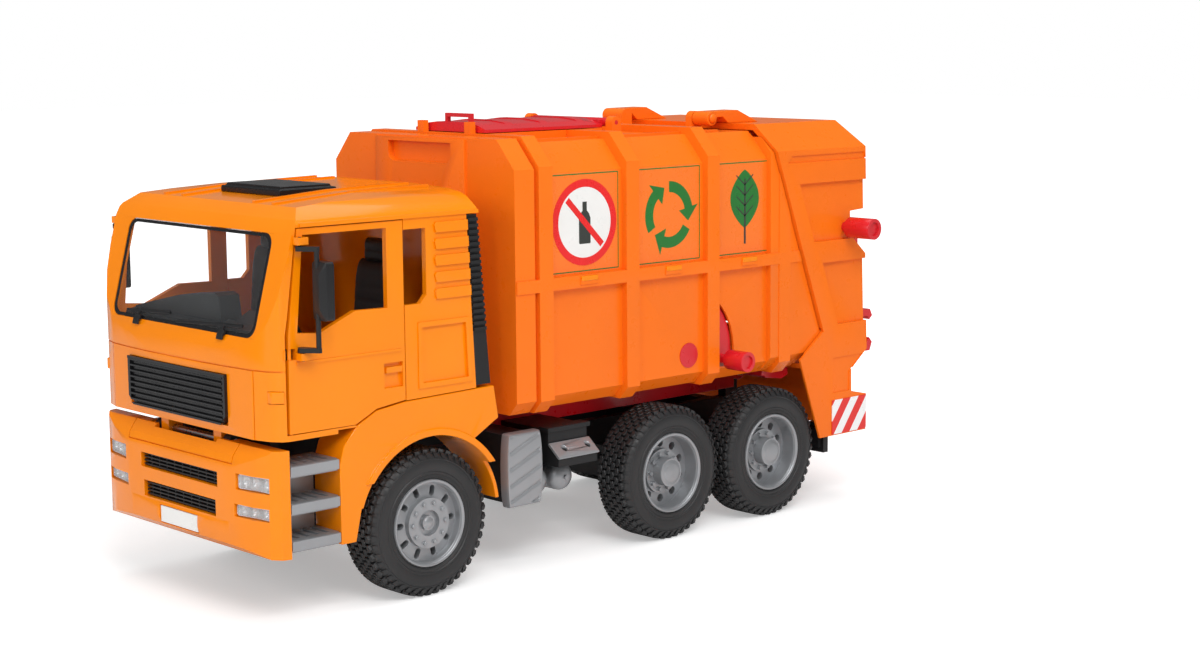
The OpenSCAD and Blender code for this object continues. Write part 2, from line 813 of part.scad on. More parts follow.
module tailgate_shell() {
    color(deep_orange) difference() {
        intersection() {
            slab(tail_outline, -tail_hw, tail_hw);
            tail_section();
        }
        // load space, open towards the container
        intersection() {
            slab([[-90, 217.6], [-184.9, 217.6], [-194, 205], [-194, 88.4], [-185.5, 80.2],
                  [-151, 83], [-151, 60], [-90, 60]], -73, 73);
            section([[-73, 30], [73, 30], [73, 205], [60, 219], [-60, 219], [-73, 205]], -210,
                    -90);
        }
        // room for the container's lower rear corner
        slab([[-162.4, 102.4], [-146.6, 85.4], [-130, 85.4], [-130, 110], [-150, 110]], -75.6,
             75.6);
        // space under the hopper floor
        slab([[-130, 20], [-196.7, 20], [-196.7, 58.4], [-183.4, 61.4], [-183.2, 77.2],
              [-151, 80.2], [-151, 90], [-130, 90]], -tail_hw + 1.3, tail_hw - 1.3);
        // hopper mouth in the rear
        block([-205, -66, 92], [-190, 66, 184]);
        both_sides() {
            // skin set back between the flanges
            slab([[-134, 203], [-196, 203], [-197.4, 199], [-130.5, 199]], 76.2, 80);
            slab([[-140.6, 187], [-200, 187], [-200, 153.4], [-153.2, 153.4]], skin_hw, 80);
            slab([[-160.5, 141], [-200, 141], [-200, 104.4], [-174, 104.4]], skin_hw, 80);
            // facets of the hopper's side
            slab([[-170, 85], [-196.4, 85], [-184.6, 75.6], [-184.6, 64.6], [-170, 64.6]], 76.6,
                 80);
            rod_y(lift_pivot, 3 + run, 60, 90);
        }
        // recess of the rear lamps
        for (s = [-1, 1]) block([-200, s * 52 - 15, 45], [-198.9, s * 52 + 15, 55]);
    }
}

module hinge_arms() {
    color(deep_orange) both_sides() difference() {
        union() {
            rod_y(tail_pivot, 4, 31, 43);
            slab([[tail_pivot[0], 220], [tail_pivot[0], 228], [-126, 228.2], [-143, box_top],
                  [-118.2, box_top], [-114, 224.5], [tail_pivot[0], 224.5]], 31, 43);
        }
        rod_y(tail_pivot, 1.6 + run, 20, 50);
        block([-113, 30, 210], [-101, 44, 219.6]);
    }
}

module warning_boards() {
    color("white") both_sides() block([-199.2, tail_hw, 40.2], [-169, tail_hw + 0.7, 60.3]);
}

module lifter_shaft() {
    color(red) {
        rod_y(lift_pivot, 3, -80, 80);
        both_sides() difference() {
            rod_y(lift_pivot, 6, 79, 97);
            rod_y(lift_pivot, 4, 95.6, 98);
        }
    }
}

module lifter_hooks() {
    color(red) difference() {
        union() {
            both_sides() {
                // arm down the back of the hopper
                slab([[-178, 163], [-186, 166], [-206.5, 152], [-207.5, 84], [-203, 84],
                      [-202.4, 148], [-178, 156]], 59.5, 64);
                // hook, open towards the rear
                slab([[-206, 108], [-218, 108], [-220, 104], [-217.4, 101.6], [-215.6, 104],
                      [-210.4, 104], [-210.4, 88], [-215.6, 88], [-217.4, 91], [-220, 88],
                      [-218, 83], [-206, 83]], 59, 64.5);
            }
            block([-207, -62, 92], [-203.4, 62, 101]);
            for (y = [-40 : 16 : 40]) block([-210.4, y - 2.5, 94], [-206, y + 2.5, 107]);
        }
        rod_y(lift_pivot, 3, -90, 90);
    }
}

// ---------- wheels ----------

module axle(x) {
    color(silver) rod_y([x, axle_z], axle_r, -66, 66);
}

// Everything on a wheel is turned about Y, with the outer face at y = 0 and the truck at y < 0
module wheel_place(x, name) {
    side(name) translate([x, tyre_face, axle_z]) rotate([-90, 0, 0]) children();
}

module tyre(x, name) {
    wheel_place(x, name) color("darkslategray") difference() {
        rotate_extrude($fn = 96) polygon([
            [rim_r, -2], [rim_r + 1.6, -0.6], [27, 0], [31, -0.3], [34, -1.6], [35.6, -3.4],
            [tyre_r, -5.4], [tyre_r, -tyre_w + 5.4], [35.6, -tyre_w + 3.4],
            [34, -tyre_w + 1.6], [31, -tyre_w + 0.3], [27, -tyre_w],
            [rim_r + 1.6, -tyre_w + 0.6], [rim_r, -tyre_w + 2]
        ]);
        for (i = [1 : 3]) {
            rotate_extrude($fn = 96) translate([tyre_r - 1.6, -tyre_w * i / 4 - 0.6]) {
                square([3, 1.2]);
            }
        }
    }
}

module rim_blank(disc) {
    rotate_extrude($fn = 96) polygon(concat(
        [[axle_r, disc[0]], [axle_r, disc[1]]],
        [[19.4, disc[2]], [19.6, -1.6], [20.8, -0.7], [rim_r, -1], [rim_r, -21.4],
         [19.6, -21.4], [19.2, disc[3]]]
    ));
}

module front_rim(name) {
    wheel_place(axle_1, name) color(silver) difference() {
        union() {
            rim_blank([-15, -3.4, -5.4, -15]);
            translate([0, 0, -8]) cylinder(h = 6.6, r = 12.4);
            for (i = [0 : 9]) rotate([0, 0, i * 36]) translate([10, 0, -3]) {
                cylinder(h = 2.8, r = 1.15, $fn = 6);
            }
        }
        translate([0, 0, -3.6]) cylinder(h = 6, r = 6.4);
        translate([0, 0, -20]) cylinder(h = 12, r = axle_r);
        // oblong vents
        for (i = [0 : 9]) rotate([0, 0, i * 36]) {
            for (r = [14.6, 17]) translate([r, 0, -20]) cylinder(h = 22, r = 1.5);
            block([14.6, -1.5, -20], [17, 1.5, 2]);
        }
    }
    wheel_place(axle_1, name) color(silver) {
        difference() {
            translate([0, 0, -5]) cylinder(h = 3.4, r = 3.6);
            translate([0, 0, -2.4]) cylinder(h = 3, r = 1.6);
        }
    }
}

module rear_rim(x, name) {
    wheel_place(x, name) color(silver) difference() {
        union() {
            rim_blank([-15, -10, -10, -15]);
            translate([0, 0, -11]) cylinder(h = 3, r = 12.2);
            translate([0, 0, -9]) cylinder(h = 7.6, r = 7.7);
            for (i = [0 : 9]) rotate([0, 0, i * 36]) translate([10, 0, -9]) {
                cylinder(h = 2.8, r = 1.15, $fn = 6);
            }
        }
        translate([0, 0, -30]) cylinder(h = 22, r = axle_r);
        for (i = [0 : 9]) rotate([0, 0, i * 36 + 18]) translate([15.2, 0, -20]) {
            cylinder(h = 22, r = 2.2);
        }
    }
}

// ---------- nodes ----------

chassis_rails();
cross_members();
axle_blocks();
pivot_pins();
front_bumper();
bumper_grille();
lamp("left");  // lamp_left
lamp("right");  // lamp_right
licence_plate();
steps("left");  // steps_left
steps("right");  // steps_right
fender("left");  // fender_left
fender("right");  // fender_right
engine();
silencer_casing();
silencer_cover();
fuel_tank();
tool_boxes();
tread_plates();
air_tanks();
rear_beam();
cab_shell();
cab_grille();
windscreen();
dashboard();
steering_wheel();
seat("left");  // seat_left
seat("right");  // seat_right
sun_hatch();
side_strips();
wipers();
door("left");  // door_left
door("right");  // door_right
mirror_node("left");  // mirror_left
mirror_node("right");  // mirror_right
container_shell();
subframe();
hatch_lid();
press_lever();
press_plate();
tailgate_shell();
hinge_arms();
warning_boards();
lifter_shaft();
lifter_hooks();
axle(axle_1);  // axle_front
tyre(axle_1, "left");  // tyre_front_left
tyre(axle_1, "right");  // tyre_front_right
front_rim("left");  // rim_front_left
front_rim("right");  // rim_front_right
axle(axle_2);  // axle_middle
tyre(axle_2, "left");  // tyre_middle_left
tyre(axle_2, "right");  // tyre_middle_right
rear_rim(axle_2, "left");  // rim_middle_left
rear_rim(axle_2, "right");  // rim_middle_right
axle(axle_3);  // axle_rear
tyre(axle_3, "left");  // tyre_rear_left
tyre(axle_3, "right");  // tyre_rear_right
rear_rim(axle_3, "left");  // rim_rear_left
rear_rim(axle_3, "right");  // rim_rear_right
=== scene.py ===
"""Toy refuse truck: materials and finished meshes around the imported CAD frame.

Axes are the frame's: +X forward, +Y to the truck's left, +Z up, in metres.
"""

import json
import math

import bmesh
import bpy
from mathutils import Matrix, Vector


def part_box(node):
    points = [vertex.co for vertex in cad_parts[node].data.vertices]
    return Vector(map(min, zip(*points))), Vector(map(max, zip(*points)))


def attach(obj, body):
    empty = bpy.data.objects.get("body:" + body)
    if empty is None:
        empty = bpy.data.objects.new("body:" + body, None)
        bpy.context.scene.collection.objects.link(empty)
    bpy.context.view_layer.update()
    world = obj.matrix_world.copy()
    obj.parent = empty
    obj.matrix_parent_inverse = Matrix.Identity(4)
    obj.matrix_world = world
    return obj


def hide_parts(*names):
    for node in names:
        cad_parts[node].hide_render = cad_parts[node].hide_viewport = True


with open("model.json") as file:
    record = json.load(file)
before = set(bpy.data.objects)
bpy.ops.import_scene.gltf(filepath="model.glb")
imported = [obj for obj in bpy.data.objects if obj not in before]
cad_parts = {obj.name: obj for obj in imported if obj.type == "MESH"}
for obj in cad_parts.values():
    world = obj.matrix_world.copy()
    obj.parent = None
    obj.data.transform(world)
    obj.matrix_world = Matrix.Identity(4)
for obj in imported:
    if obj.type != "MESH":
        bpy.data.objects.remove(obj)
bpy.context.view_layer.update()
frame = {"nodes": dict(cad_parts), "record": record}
NODES = frame["nodes"]
SLOT_OF = {s["node"]: s["material_slot"] for s in frame["record"]["subparts"]}

MM = 0.001
SIDES = {"left": 1, "right": -1}
AXLES = ("front", "middle", "rear")


# ---------- materials ----------


def node_tree(name):
    material = bpy.data.materials.new(name)
    material.use_nodes = True
    tree = material.node_tree
    return material, tree, tree.nodes["Principled BSDF"]


def link(tree, source, output, target, socket):
    tree.links.new(source.outputs[output], target.inputs[socket])


def noise(tree, coords, scale, detail=3.0, rough=0.5):
    """Noise over the object's own coordinates; scale is in features per metre."""
    texture = tree.nodes.new("ShaderNodeTexNoise")
    texture.inputs["Scale"].default_value = scale
    texture.inputs["Detail"].default_value = detail
    texture.inputs["Roughness"].default_value = rough
    link(tree, coords, "Object", texture, "Vector")
    return texture


def remap(tree, source, output, low, high, start=0.3, end=0.7):
    """Turns the middle of a noise's range into low..high."""
    span = tree.nodes.new("ShaderNodeMapRange")
    span.inputs["From Min"].default_value = start
    span.inputs["From Max"].default_value = end
    span.inputs["To Min"].default_value = low
    span.inputs["To Max"].default_value = high
    link(tree, source, output, span, "Value")
    return span


def two_tone(tree, factor, output, dark, light):
    """Mixes two colours by a factor node."""
    mix = tree.nodes.new("ShaderNodeMix")
    mix.data_type = "RGBA"
    mix.inputs["A"].default_value = (*dark, 1)
    mix.inputs["B"].default_value = (*light, 1)
    tree.links.new(factor.outputs[output], mix.inputs["Factor"])
    return mix


def shade(colour, factor):
    return tuple(min(1.0, c * factor) for c in colour)


def moulded(name, colour, rough, grain=0.02, grain_size=0.0006, tone=0.05, coat=0.0,
            metallic=0.0, specular=0.5):
    """Moulded plastic: a faint cloud in the colour, uneven gloss and a fine grain."""
    material, tree, shader = node_tree(name)
    coords = tree.nodes.new("ShaderNodeTexCoord")
    cloud = noise(tree, coords, 30, 4)
    clouds = remap(tree, cloud, "Fac", 0, 1)
    mix = two_tone(tree, clouds, "Result", shade(colour, 1 - tone), shade(colour, 1 + tone))
    link(tree, mix, "Result", shader, "Base Color")
    smears = noise(tree, coords, 110, 5, 0.65)
    gloss = remap(tree, smears, "Fac", rough - 0.05, rough + 0.06)
    link(tree, gloss, "Result", shader, "Roughness")
    fine = noise(tree, coords, 1 / grain_size, 2)
    bump = tree.nodes.new("ShaderNodeBump")
    bump.inputs["Strength"].default_value = grain
    bump.inputs["Distance"].default_value = 0.0002
    link(tree, fine, "Fac", bump, "Height")
    link(tree, bump, "Normal", shader, "Normal")
    shader.inputs["Metallic"].default_value = metallic
    shader.inputs["Specular IOR Level"].default_value = specular
    shader.inputs["Coat Weight"].default_value = coat
    shader.inputs["Coat Roughness"].default_value = 0.08
    return material


def glazing(name, colour, alpha, rough):
    """Clear plastic that lets the background through."""
    material, tree, shader = node_tree(name)
    coords = tree.nodes.new("ShaderNodeTexCoord")
    haze = noise(tree, coords, 60, 3)
    gloss = remap(tree, haze, "Fac", rough, rough + 0.05)
    link(tree, gloss, "Result", shader, "Roughness")
    mix = two_tone(tree, haze, "Fac", shade(colour, 0.97), colour)
    link(tree, mix, "Result", shader, "Base Color")
    shader.inputs["Alpha"].default_value = alpha
    shader.inputs["IOR"].default_value = 1.12
    material.surface_render_method = "BLENDED"
    return material


def striped(name, first, second, pitch, rough):
    """Diagonal stripes, along the object's own X and Z."""
    material, tree, shader = node_tree(name)
    coords = tree.nodes.new("ShaderNodeTexCoord")
    split = tree.nodes.new("ShaderNodeSeparateXYZ")
    link(tree, coords, "Object", split, "Vector")
    slope = tree.nodes.new("ShaderNodeMath")
    slope.operation = "MULTIPLY_ADD"
    slope.inputs[1].default_value = 0.75
    link(tree, split, "Z", slope, 0)
    link(tree, split, "X", slope, 2)
    wave = tree.nodes.new("ShaderNodeMath")
    wave.operation = "MULTIPLY"
    wave.inputs[1].default_value = 1 / pitch
    link(tree, slope, "Value", wave, 0)
    saw = tree.nodes.new("ShaderNodeMath")
    saw.operation = "FRACT"
    link(tree, wave, "Value", saw, 0)
    edge = tree.nodes.new("ShaderNodeMapRange")
    edge.inputs["From Min"].default_value = 0.49
    edge.inputs["From Max"].default_value = 0.51
    link(tree, saw, "Value", edge, "Value")
    mix = two_tone(tree, edge, "Result", first, second)
    link(tree, mix, "Result", shader, "Base Color")
    smears = noise(tree, coords, 150, 4)
    gloss = remap(tree, smears, "Fac", rough - 0.04, rough + 0.05)
    link(tree, gloss, "Result", shader, "Roughness")
    return material


ORANGE = (0.86, 0.228, 0.001)
DEEP_ORANGE = (0.88, 0.165, 0.007)
RED = (0.62, 0.010, 0.018)
MATERIALS = {
    "cab_orange": moulded("cab_orange", ORANGE, 0.2, 0.02, 0.0009, 0.03, coat=0.4,
                          specular=0.1),
    "body_orange": moulded("body_orange", DEEP_ORANGE, 0.3, 0.03, 0.0007, 0.03, coat=0.15,
                           specular=0.14),
    "red": moulded("red", RED, 0.3, 0.03, 0.0007, 0.05, coat=0.15),
    "black": moulded("black", (0.014, 0.014, 0.015), 0.42, 0.16, 0.0007, 0.15, specular=0.3),
    "black_gloss": moulded("black_gloss", (0.01, 0.01, 0.011), 0.24, 0.03, 0.0008, 0.1,
                           specular=0.3),
    "tyre": moulded("tyre", (0.017, 0.017, 0.018), 0.5, 0.25, 0.0008, 0.2),
    "silver": moulded("silver", (0.33, 0.34, 0.355), 0.36, 0.12, 0.0006, 0.05, metallic=0.55),
    "steel": moulded("steel", (0.55, 0.55, 0.56), 0.28, 0.05, 0.0005, 0.05, metallic=1.0),
    "white": moulded("white", (0.78, 0.78, 0.76), 0.3, 0.03, 0.0007, 0.02),
    "lamp": moulded("lamp", (0.72, 0.74, 0.76), 0.15, 0.03, 0.0009, 0.03, coat=0.6),
    "screen": glazing("screen", (0.3, 0.32, 0.33), 0.05, 0.03),
    "warning": striped("warning", (0.72, 0.02, 0.015), (0.85, 0.85, 0.85), 0.014, 0.3),
    "clear": glazing("clear", (0.9, 0.92, 0.93), 0.25, 0.05),
    "reflector": moulded("reflector", (0.62, 0.64, 0.66), 0.2, 0.05, 0.001, 0.03, metallic=0.8),
    "mirror": moulded("mirror", (0.8, 0.82, 0.84), 0.06, 0.0, 0.001, 0.01, metallic=1.0),
    "signal": moulded("signal", (0.85, 0.09, 0.01), 0.18, 0.05, 0.0006, 0.06, coat=0.5),
    "lens_red": moulded("lens_red", (0.5, 0.008, 0.01), 0.18, 0.05, 0.0006, 0.06, coat=0.5),
    "clear_white": moulded("clear_white", (0.75, 0.76, 0.76), 0.18, 0.05, 0.0006, 0.02,
                           coat=0.5),
    "label": moulded("label", (0.88, 0.175, 0.012), 0.28, 0.01, 0.001, 0.02),
    "green": moulded("green", (0.012, 0.16, 0.022), 0.3, 0.01, 0.001, 0.05),
    "sign_red": moulded("sign_red", (0.74, 0.012, 0.012), 0.28, 0.01, 0.001, 0.03),
    "ink": moulded("ink", (0.03, 0.035, 0.03), 0.35, 0.01, 0.001, 0.05),
}


# ---------- CAD nodes ----------

BODY_OF = {node: body for body, nodes in frame["record"]["behaviour"]["bodies"].items()
           for node in nodes}
LOOKS = {"warning_boards": "warning", "cab_grille": "black_gloss"}
BEVELS = {"cab_orange": 0.7, "body_orange": 0.6, "red": 0.5, "silver": 0.35}
SMALL_BEVEL = 0.25
# Pieces whose edges are rounded further than the moulded-in ones
ROUNDED = {"cab_shell": 1.1, "front_bumper": 1.3, "fender_left": 1.2, "fender_right": 1.2,
           "door_left": 0.7, "door_right": 0.7, "container_shell": 0.8, "tailgate_shell": 0.7,
           "hinge_arms": 0.9, "hatch_lid": 0.6, "lifter_hooks": 0.9,
           "mirror_left": 0.7, "mirror_right": 0.7, "sun_hatch": 0.9}


def add_bevel(obj, width, segments=2, angle=30):
    """Rounds a piece's edges, so that they catch the light."""
    bevel = obj.modifiers.new("bevel", "BEVEL")
    bevel.width = width * MM
    bevel.segments = segments
    bevel.limit_method = "ANGLE"
    bevel.angle_limit = math.radians(angle)
    return obj


def rounded_copy(name, width):
    """A copy of a CAD piece with whole flat faces, smooth bends and rounded edges."""
    source = NODES[name]
    work = bmesh.new()
    work.from_mesh(source.data)
    bmesh.ops.remove_doubles(work, verts=work.verts, dist=0.004 * MM)
    bmesh.ops.dissolve_limit(work, angle_limit=math.radians(0.4), verts=work.verts,
                             edges=work.edges)
    mesh = bpy.data.meshes.new(f"{name}_rounded")
    work.to_mesh(mesh)
    work.free()
    mesh.materials.append(MATERIALS[LOOKS.get(name, SLOT_OF[name])])
    mesh.shade_smooth()
    mesh.set_sharp_from_angle(angle=math.radians(33))
    obj = bpy.data.objects.new(f"{name}_rounded", mesh)
    obj.matrix_world = source.matrix_world.copy()
    bpy.context.scene.collection.objects.link(obj)
    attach(obj, BODY_OF[name])
    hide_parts(name)
    add_bevel(obj, width, 3, 33).modifiers["bevel"].harden_normals = True
    return obj


for name, obj in NODES.items():
    slot_name = SLOT_OF[name]
    obj.data.materials.clear()
    obj.data.materials.append(MATERIALS[LOOKS.get(name, slot_name)])
    if slot_name == "screen":
        continue
    weld = obj.modifiers.new("weld", "WELD")
    weld.merge_threshold = 0.01 * MM
    edge = add_bevel(obj, BEVELS.get(slot_name, SMALL_BEVEL), 2, 32)
    edge.modifiers["bevel"].harden_normals = True
for name, width in ROUNDED.items():
    rounded_copy(name, width)


# ---------- mesh building ----------


class Shape:
    """Collects points and faces, each face with a material number, and becomes one object."""

    def __init__(self):
        self.points = []
        self.faces = []
        self.slots = []

    def add(self, points, faces, slot=0):
        start = len(self.points)
        self.points += [tuple(p) for p in points]
        self.faces += [tuple(start + i for i in face) for face in faces]
        self.slots += [slot] * len(faces)

    def rings(self, rings, slot=0, closed=False, caps=True):
        """Skins a list of equally long closed rings; closed joins the last to the first."""
        count = len(rings[0])
        faces = []
        spans = len(rings) if closed else len(rings) - 1
        for k in range(spans):
            low, high = k * count, (k + 1) % len(rings) * count
            for i in range(count):
                j = (i + 1) % count
                faces.append((low + i, low + j, high + j, high + i))
        if caps and not closed:
            faces.append(tuple(reversed(range(count))))
            faces.append(tuple((len(rings) - 1) * count + i for i in range(count)))
        self.add([p for ring in rings for p in ring], faces, slot)

    def prism(self, outline, place, low, high, slot=0):
        """Extrudes a 2-D outline; place(u, v, w) puts a point in the frame."""
        self.rings([[place(u, v, w) for u, v in outline] for w in (low, high)], slot)

    def band(self, outer, inner, place, low, high, slot=0):
        """A flat ring between two outlines of the same length, with a thickness."""
        loops = [(outer, low), (outer, high), (inner, high), (inner, low)]
        self.rings([[place(u, v, w) for u, v in line] for line, w in loops], slot, closed=True)

    def build(self, name, body, slots, smooth=30, record_slot=None):
        mesh = bpy.data.meshes.new(name)
        mesh.from_pydata([Vector(p) * MM for p in self.points], [], self.faces)
        for slot in slots:
            mesh.materials.append(MATERIALS[slot])
        for face, slot in zip(mesh.polygons, self.slots):
            face.material_index = slot
        work = bmesh.new()
        work.from_mesh(mesh)
        bmesh.ops.recalc_face_normals(work, faces=work.faces)
        work.to_mesh(mesh)
        work.free()
        mesh.shade_smooth()
        mesh.set_sharp_from_angle(angle=math.radians(smooth))
        obj = bpy.data.objects.new(name, mesh)
        bpy.context.scene.collection.objects.link(obj)
        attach(obj, body)
        return obj


def circle(radius, count=48):
    return [(radius * math.cos(2 * math.pi * i / count),
             radius * math.sin(2 * math.pi * i / count)) for i in range(count)]


def rounded_box(width, height, radius, corner=6, centre=(0, 0)):
    """Outline of a rectangle with round corners, counter-clockwise."""
    points = []
    for quarter, (sx, sy) in enumerate(((1, 1), (-1, 1), (-1, -1), (1, -1))):
        cx = centre[0] + sx * (width / 2 - radius)
        cy = centre[1] + sy * (height / 2 - radius)
        for i in range(corner + 1):
            a = math.pi / 2 * (quarter + i / corner)
            points.append((cx + radius * math.cos(a), cy + radius * math.sin(a)))
    return points


def lathe(shape, profile, centre, facing, slot=0, count=64):
    """Revolves (radius, distance) points about a line along Y; facing is 1 or -1."""
    rings = []
    for i in range(count):
        a = 2 * math.pi * i / count
        rings.append([(centre[0] + r * math.cos(a), centre[1] + facing * y,
                       centre[2] + r * math.sin(a)) for r, y in profile])
    shape.rings(rings, slot, closed=True)


def superellipse(half_u, half_v, power=4.0, count=32):
    points = []
    for i in range(count):
        a = 2 * math.pi * i / count
        c, s = math.cos(a), math.sin(a)
        points.append((half_u * math.copysign(abs(c) ** (2 / power), c),
                       half_v * math.copysign(abs(s) ** (2 / power), s)))
    return points


# ---------- wheels ----------

WHEEL_X = {a: (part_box(f"axle_{a}")[0].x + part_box(f"axle_{a}")[1].x) / 2 / MM for a in AXLES}
TYRE_LOW, TYRE_HIGH = (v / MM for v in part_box("tyre_front_left"))
TYRE_R = (TYRE_HIGH.z - TYRE_LOW.z) / 2
TYRE_W = TYRE_HIGH.y - TYRE_LOW.y
TYRE_FACE = TYRE_HIGH.y
WHEEL_Z = (TYRE_HIGH.z + TYRE_LOW.z) / 2
BEAD_R = 21.7
GROOVE_DEPTH = 1.7
TREAD_ROWS = 6
TREAD_BLOCKS = 46


def tyre_mesh():
    """A tyre about the Y axis, outer face at y = 0, with a blocked tread."""
    shape = Shape()
    base = TYRE_R - GROOVE_DEPTH
    half = [(BEAD_R, -2.2), (BEAD_R + 0.3, -0.9), (BEAD_R + 1.2, -0.35), (24.2, -0.5),
            (24.6, -0.15), (25.3, -0.1), (25.7, -0.4), (28, 0), (30.6, -0.1), (31.2, -0.4),
            (31.6, -0.2), (32.4, -0.55), (33.6, -1.5), (34.4, -2.8), (base, -4.4)]
    profile = half + [(r, -TYRE_W - y) for r, y in reversed(half)]
    lathe(shape, profile, (0, 0, 0), 1, count=120)
    shoulder = 2.0
    pitch = (TYRE_W - 2 * shoulder) / TREAD_ROWS
    step = 2 * math.pi / TREAD_BLOCKS
    zig = 0.55
    for row in range(TREAD_ROWS):
        y0 = -shoulder - row * pitch
        y1 = y0 - pitch
        edge_row = row in (0, TREAD_ROWS - 1)
        for k in range(TREAD_BLOCKS):
            a0 = k * step + (row % 2) * step / 2
            gap = 0.10 * step if edge_row else 0.07 * step
            angles = (a0 + gap, a0 + step / 2, a0 + step - gap)
            sides = []
            for y, sign in ((y0 - 0.32, 1), (y1 + 0.32, -1)):
                line = [(a, y + (zig if i == 1 else -zig)) for i, a in enumerate(angles)]
                sides.append(line if sign == 1 else line[::-1])
            outline = sides[0] + sides[1]
            mid_a = sum(a for a, _ in outline) / len(outline)
            mid_y = sum(y for _, y in outline) / len(outline)
            rings = []
            for lift, inset in ((-0.6, 1.0), (GROOVE_DEPTH - 0.35, 0.96), (GROOVE_DEPTH, 0.84)):
                ring = []
                for a, y in outline:
                    a = mid_a + (a - mid_a) * inset
                    y = mid_y + (y - mid_y) * inset
                    off = abs(y + TYRE_W / 2) / (TYRE_W / 2)
                    r = base + lift - 1.3 * max(0.0, off - 0.62) ** 1.6 * (lift > 0) * 2.2
                    ring.append((r * math.cos(a), y, r * math.sin(a)))
                rings.append(ring)
            shape.rings(rings)
    lug = 0.5
    for k in range(TREAD_BLOCKS):
        for y_side in (0, 1):
            a = (k + 0.5) * step
            rings = []
            for r, y, w in ((35.4, -3.4, 0.32), (34.6, -1.75, 0.3), (33.2, -0.75, 0.26),
                            (32.4, -0.5, 0.2)):
                ring = []
                for da, dy in ((-w, -lug), (w, -lug), (w, 0.28), (-w, 0.28)):
                    y_here = y + dy
                    if y_side:
                        y_here = -TYRE_W - y_here
                    ring.append((r * math.cos(a + da * step), y_here,
                                 r * math.sin(a + da * step)))
                rings.append(ring)
            shape.rings(rings)
    return shape


def wheels():
    shape = tyre_mesh()
    first = None
    for axle in AXLES:
        for side, sign in SIDES.items():
            name = f"tread_{axle}_{side}"
            if first is None:
                obj = shape.build(name, f"{axle}_wheels", ["tyre"], smooth=28)
                first = obj.data
            else:
                obj = bpy.data.objects.new(name, first)
                bpy.context.scene.collection.objects.link(obj)
            turn = Matrix.Rotation(0 if sign > 0 else math.pi, 4, "Z")
            place = Vector((WHEEL_X[axle], sign * TYRE_FACE, WHEEL_Z)) * MM
            obj.parent = None
            obj.matrix_world = Matrix.Translation(place) @ turn
            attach(obj, f"{axle}_wheels")
            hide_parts(f"tyre_{axle}_{side}")
            rim_trim(axle, side, sign)


def rim_trim(axle, side, sign):
    """Domed nuts on washers, the hub's cap and a lip at the rim's edge, over the moulded rim."""
    shape = Shape()
    front = axle == "front"
    seat = TYRE_FACE - (1.4 if front else 8.0)
    for k in range(10):
        a = math.radians(36 * k)
        nut = [(0, 1.5), (0.5, 1.45), (0.95, 1.1), (1.15, 0.5), (1.15, 0.12), (1.8, 0.1),
               (1.95, -0.1), (1.95, -0.4), (0, -0.4)]
        centre = (WHEEL_X[axle] + 10 * math.cos(a), sign * seat, WHEEL_Z + 10 * math.sin(a))
        lathe(shape, nut, centre, sign, count=16)
    hub_face = TYRE_FACE - (1.6 if front else 1.4)
    if front:
        hub = [(0, 0.9), (1.2, 0.8), (2.4, 0.3), (3.2, -0.2), (3.6, -1), (3.6, -2.4), (0, -2.4)]
    else:
        hub = [(0, 1.0), (4.6, 0.9), (5.6, 0.55), (6.1, 0.1), (7.0, 0.05), (7.6, -0.3),
               (7.82, -0.9), (7.82, -1.6), (0, -1.6)]
    lathe(shape, hub, (WHEEL_X[axle], sign * hub_face, WHEEL_Z), sign, count=48)
    lip = [(19.8, -1.2), (20.1, -0.5), (20.7, -0.15), (21.3, -0.2), (21.68, -0.7), (21.68, -1.6),
           (19.8, -1.6)]
    lathe(shape, lip, (WHEEL_X[axle], sign * TYRE_FACE, WHEEL_Z), sign, count=96)
    shape.build(f"rim_trim_{axle}_{side}", f"{axle}_wheels", ["silver"], smooth=40)


# ---------- cab ----------

SCREEN_FOOT = Vector((215.5, 0, 134.5))
SCREEN_LEAN = math.radians(14.86)
# The windscreen's opening: half its width, and its lower and upper edges up the slope
OPENING_HALF = 62.8
OPENING_EDGES = (0.85, 49.95)
CORNER_R = 6.0


def on_screen(u, v, w):
    """u across, v up the windscreen from its foot, w out of it."""
    up = Vector((-math.sin(SCREEN_LEAN), 0, math.cos(SCREEN_LEAN)))
    out = Vector((math.cos(SCREEN_LEAN), 0, math.sin(SCREEN_LEAN)))
    return SCREEN_FOOT + Vector((0, u, 0)) + up * v + out * w


def screen_corners():
    """Fillets that round the windscreen opening's corners."""
    shape = Shape()
    for side in (-1, 1):
        for edge, inward in zip(OPENING_EDGES, (1, -1)):
            corner = [(side * OPENING_HALF, edge)]
            for i in range(9):
                a = math.pi / 2 * i / 8
                corner.append((side * (OPENING_HALF - CORNER_R + CORNER_R * math.sin(a)),
                               edge + inward * (CORNER_R - CORNER_R * math.cos(a))))
            shape.prism(corner, on_screen, -0.55, -0.02)
    shape.build("screen_corners", "cab", ["cab_orange"], smooth=40)


def screen_border():
    shape = Shape()
    outer = rounded_box(124.8, 48.6, 5.6, 8, (0, 25.4))
    inner = rounded_box(121.2, 45.4, 5.2, 8, (0, 25.4))
    shape.band(outer, inner, on_screen, -0.62, -0.18, 0)
    add_bevel(shape.build("screen_border", "cab", ["black_gloss"], smooth=40), 0.12)


